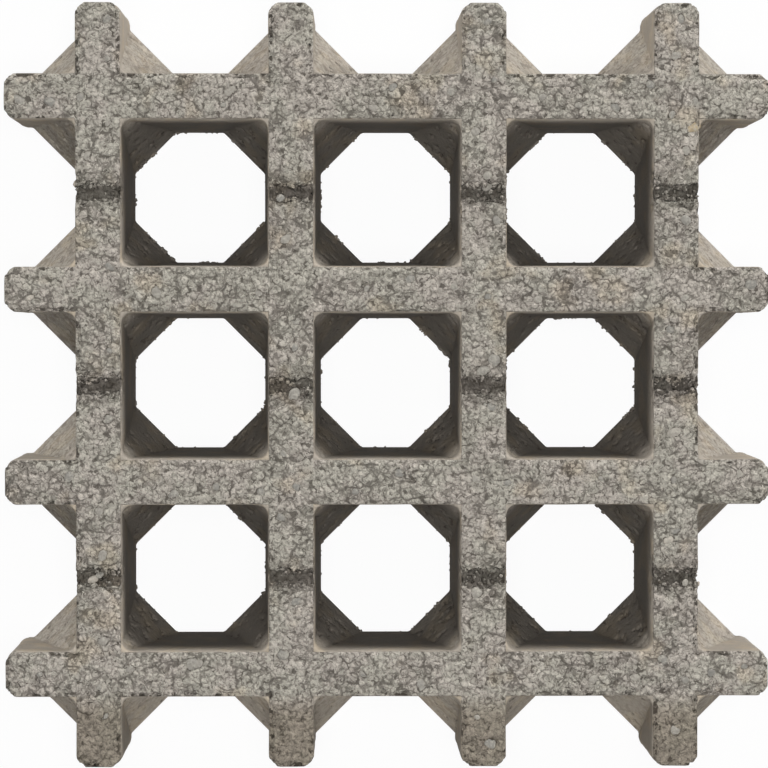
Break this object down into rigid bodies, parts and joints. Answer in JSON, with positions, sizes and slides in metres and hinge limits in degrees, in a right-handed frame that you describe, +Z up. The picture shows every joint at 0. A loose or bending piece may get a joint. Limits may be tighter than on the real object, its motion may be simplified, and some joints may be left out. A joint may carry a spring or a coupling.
{
  "type": "permeable concrete paver",
  "caption": "Square open-grid concrete paving block with tapered through cells, corner gussets and half cells round its edge, for a surface that drains.",
  "frame": {"origin": "middle of the underside, at the height of the surface that the paver lies on", "axes": "+Z up through the thickness, +X across the webs that carry the core-bar marks, +Y along them"},
  "size_m": [0.6056, 0.6056, 0.1016],
  "materials": {
    "concrete": "matte"
  },
  "bodies": {
    "root": {"paver": "concrete"}
  },
  "joints": []
}
